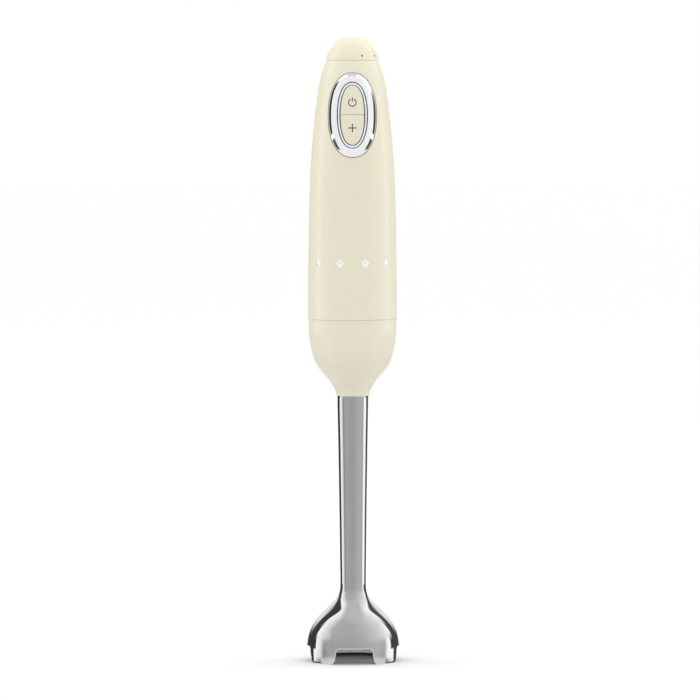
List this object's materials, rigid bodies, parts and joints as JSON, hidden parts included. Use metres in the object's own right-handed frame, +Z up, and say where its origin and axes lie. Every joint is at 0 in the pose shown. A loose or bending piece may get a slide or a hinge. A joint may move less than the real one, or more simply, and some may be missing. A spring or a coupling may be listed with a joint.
{
  "type": "immersion blender",
  "caption": "Upright hand blender: round plastic motor unit with speed dial and two push buttons, twist-off arm with tapered steel stem, notched bell and winged blade.",
  "frame": {"origin": "centre of the bell's rim plane, on the blender's axis", "axes": "+Z up along the blender's axis from the rim to the speed dial, -Y towards the buttons (front), +Y towards the cord inlet (back), +X to the right seen from the front"},
  "size_m": [0.0614, 0.0614, 0.41],
  "materials": {
    "cream_gloss": "glossy moulded cream plastic",
    "key_cream": "satin soft-touch cream",
    "icon_grey": "printed warm grey",
    "bright_chrome": "mirror chrome",
    "polished_steel": "polished stainless steel",
    "steel": "plain machined or pressed steel",
    "lamination": "stacked electrical steel sheets",
    "copper": "enamelled copper wire",
    "brass": "bronze and brass",
    "carbon": "graphite block",
    "rubber_black": "matte black rubber",
    "dark_plastic": "black glass-filled plastic",
    "natural_plastic": "uncoloured engineering plastic",
    "board_green": "circuit board with solder mask",
    "wire_red": "insulated wire",
    "film_cap": "film capacitor",
    "pot_blue": "potentiometer housing"
  },
  "bodies": {
    "motor_unit": {"motor_housing": "cream_gloss", "button_bezel": "bright_chrome", "button_surround": "bright_chrome", "trim_studs": "bright_chrome", "dial_seal": "rubber_black", "cord_gland": "cream_gloss", "terminal_block": "dark_plastic", "switch_frame": "natural_plastic", "frame_screws": "steel", "circuit_board": "board_green", "pcb_screws": "steel", "capacitor": "film_cap", "power_switch": "dark_plastic", "turbo_switch": "dark_plastic", "power_spring": "steel", "turbo_spring": "steel", "potentiometer": "pot_blue", "motor_leads": "wire_red", "bayonet_socket": "dark_plastic", "base_screws": "steel", "rubber_dampers": "rubber_black", "lower_motor_bracket": "steel", "upper_motor_bracket": "steel", "motor_screws": "steel", "field_core": "lamination", "field_coils": "copper", "lower_bearing": "steel", "upper_bearing": "steel", "brush_holders": "brass", "carbon_brushes": "carbon", "brush_springs": "steel"},
    "speed_dial": {"speed_dial": "cream_gloss", "speed_marks": "icon_grey", "dial_shaft": "steel", "dial_clip": "steel"},
    "power_button": {"power_button": "key_cream", "power_icon": "icon_grey", "power_plunger": "natural_plastic"},
    "turbo_button": {"turbo_button": "key_cream", "plus_icon": "icon_grey", "turbo_plunger": "natural_plastic"},
    "rotor": {"motor_shaft": "steel", "armature_core": "lamination", "armature_winding": "copper", "commutator": "copper", "cooling_fan": "dark_plastic", "motor_coupling": "natural_plastic"},
    "shaft_bearings": {"shaft_upper_bush": "brass", "shaft_lower_bush": "brass", "lip_seal": "rubber_black"},
    "blending_arm": {"arm_collar": "cream_gloss", "arm_spigot": "natural_plastic", "arm_screws": "steel", "spigot_seal": "rubber_black", "stem_and_bell": "polished_steel", "bearing_hub": "dark_plastic"},
    "blade_shaft": {"drive_shaft": "steel", "shaft_coupling": "dark_plastic", "blade": "polished_steel", "blade_nut": "steel"}
  },
  "joints": [
    {"name": "dial_turn", "type": "hinge", "parent": "motor_unit", "child": "speed_dial", "pos_m": [0, 0, 0.3934], "axis": [0, 0, 1], "range_deg": [-144, 0]},
    {"name": "power_press", "type": "slide", "parent": "motor_unit", "child": "power_button", "axis": [0, 0.9928, -0.1201], "range_m": [0, 0.0012], "stiffness_N_per_m": 900, "springref_m": -0.0015, "deforming": ["power_spring"]},
    {"name": "turbo_press", "type": "slide", "parent": "motor_unit", "child": "turbo_button", "axis": [0, 0.9928, -0.1201], "range_m": [0, 0.0012], "stiffness_N_per_m": 900, "springref_m": -0.0015, "deforming": ["turbo_spring"]},
    {"name": "rotor_spin", "type": "hinge", "parent": "motor_unit", "child": "rotor", "pos_m": [0, 0, 0.28], "axis": [0, 0, 1], "continuous": true},
    {"name": "arm_drop", "type": "slide", "parent": "motor_unit", "child": "shaft_bearings", "axis": [0, 0, -1], "range_m": [0, 0.01]},
    {"name": "arm_twist", "type": "hinge", "parent": "shaft_bearings", "child": "blending_arm", "pos_m": [0, 0, 0.2243], "axis": [0, 0, 1], "range_deg": [0, 60]},
    {"name": "blade_spin", "type": "hinge", "parent": "shaft_bearings", "child": "blade_shaft", "pos_m": [0, 0, 0.1], "axis": [0, 0, 1], "continuous": true}
  ],
  "couplings": [
    {"joint": "arm_twist", "follows": "arm_drop", "rad_per_m": 104.72},
    {"joint": "blade_spin", "follows": "rotor_spin", "ratio": 1}
  ]
}
